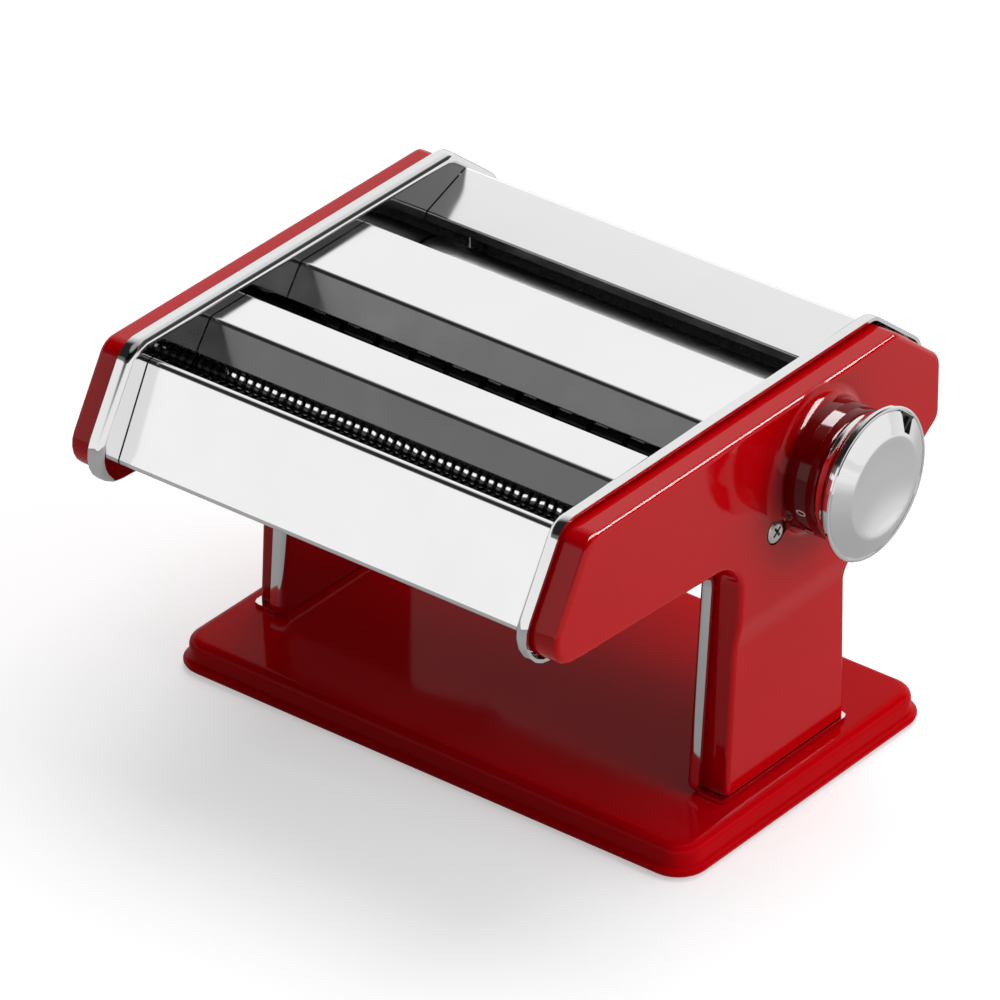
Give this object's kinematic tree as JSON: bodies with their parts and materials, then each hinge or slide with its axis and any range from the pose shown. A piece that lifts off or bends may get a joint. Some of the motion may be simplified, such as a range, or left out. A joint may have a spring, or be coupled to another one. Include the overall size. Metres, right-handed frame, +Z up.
{
  "type": "pasta roller machine",
  "caption": "Hand-cranked pasta machine: adjustable smooth rollers, wide and thin cutter rollers, folded chromed guides, red side covers and base, thickness knob.",
  "frame": {"origin": "centre of the overall box, on the underside of the rubber feet", "axes": "+X across the rollers to the knob side, +Y from the cutters to the back of the smooth rollers, +Z up"},
  "size_m": [0.2102, 0.1856, 0.1343],
  "materials": {
    "red_enamel": "gloss",
    "chrome_sheet": "mirror polished",
    "roller_steel": "fine turned",
    "gear_steel": "machined",
    "zinc_hardware": "zinc plated",
    "bronze_bush": "satin",
    "nylon_white": "satin",
    "rubber_black": "matte",
    "black_paint": "satin"
  },
  "bodies": {
    "frame": {"base_plate": "red_enamel", "rubber_feet": "rubber_black", "clamp_bracket": "zinc_hardware", "side_plate_left": "chrome_sheet", "side_plate_right": "chrome_sheet", "side_cover_left": "red_enamel", "side_cover_right": "red_enamel", "hopper_guide": "chrome_sheet", "rear_hood": "chrome_sheet", "front_hood": "chrome_sheet", "front_panel": "chrome_sheet", "tie_rods": "zinc_hardware", "tie_rod_nuts": "zinc_hardware", "bushings_left": "bronze_bush", "bushings_right": "bronze_bush", "cover_posts": "zinc_hardware", "cover_screws": "zinc_hardware", "foot_screws": "zinc_hardware", "roller_wiper": "nylon_white", "wide_comb_rear": "roller_steel", "wide_comb_front": "roller_steel", "thin_comb_rear": "roller_steel", "thin_comb_front": "roller_steel"},
    "carriage": {"bearing_block_left": "bronze_bush", "bearing_block_right": "bronze_bush", "carriage_bar": "zinc_hardware", "carriage_wiper": "nylon_white"},
    "adjustable_roller": {"smooth_roller_adjustable": "roller_steel", "gear_smooth_adjustable": "gear_steel"},
    "fixed_roller": {"smooth_roller_fixed": "roller_steel", "gear_smooth_fixed": "gear_steel"},
    "adjuster": {"adjuster_camshaft": "gear_steel", "knob_screw": "zinc_hardware", "knob_washer": "zinc_hardware", "knob_spring": "zinc_hardware"},
    "knob": {"knob_body": "chrome_sheet", "knob_cap": "chrome_sheet", "knob_pointer": "black_paint", "knob_index_pin": "zinc_hardware"},
    "wide_rear": {"wide_cutter_rear": "roller_steel", "gear_wide_rear": "gear_steel"},
    "wide_front": {"wide_cutter_front": "roller_steel", "gear_wide_front": "gear_steel"},
    "thin_rear": {"thin_cutter_rear": "roller_steel", "gear_thin_rear": "gear_steel"},
    "thin_front": {"thin_cutter_front": "roller_steel", "gear_thin_front": "gear_steel"}
  },
  "joints": [
    {"name": "adjuster_turn", "type": "hinge", "parent": "frame", "child": "adjuster", "pos_m": [0, 0.02947, 0.10799], "axis": [-1, 0, 0], "range_deg": [0, 200]},
    {"name": "knob_pull", "type": "slide", "parent": "adjuster", "child": "knob", "axis": [1, 0, 0], "range_m": [0, 0.0035], "stiffness_N_per_m": 900, "springref_m": -0.004, "deforming": ["knob_spring"]},
    {"name": "carriage_slide", "type": "slide", "parent": "frame", "child": "carriage", "axis": [0, -0.9198, 0.3923], "range_m": [0, 0.0024]},
    {"name": "fixed_roller_spin", "type": "hinge", "parent": "frame", "child": "fixed_roller", "pos_m": [0, 0.05548, 0.0969], "axis": [-1, 0, 0], "continuous": true},
    {"name": "adjustable_roller_spin", "type": "hinge", "parent": "carriage", "child": "adjustable_roller", "pos_m": [0, 0.02947, 0.10799], "axis": [-1, 0, 0], "continuous": true},
    {"name": "wide_rear_spin", "type": "hinge", "parent": "frame", "child": "wide_rear", "pos_m": [0, -0.00152, 0.111], "axis": [-1, 0, 0], "continuous": true},
    {"name": "wide_front_spin", "type": "hinge", "parent": "frame", "child": "wide_front", "pos_m": [0, -0.01972, 0.111], "axis": [-1, 0, 0], "continuous": true},
    {"name": "thin_rear_spin", "type": "hinge", "parent": "frame", "child": "thin_rear", "pos_m": [0, -0.04282, 0.111], "axis": [-1, 0, 0], "continuous": true},
    {"name": "thin_front_spin", "type": "hinge", "parent": "frame", "child": "thin_front", "pos_m": [0, -0.06102, 0.111], "axis": [-1, 0, 0], "continuous": true}
  ],
  "couplings": [
    {"joint": "adjuster_turn", "follows": "carriage_slide", "rad_per_m": 1454.4},
    {"joint": "adjustable_roller_spin", "follows": "fixed_roller_spin", "ratio": -1},
    {"joint": "wide_front_spin", "follows": "wide_rear_spin", "ratio": -1},
    {"joint": "thin_front_spin", "follows": "thin_rear_spin", "ratio": -1}
  ]
}
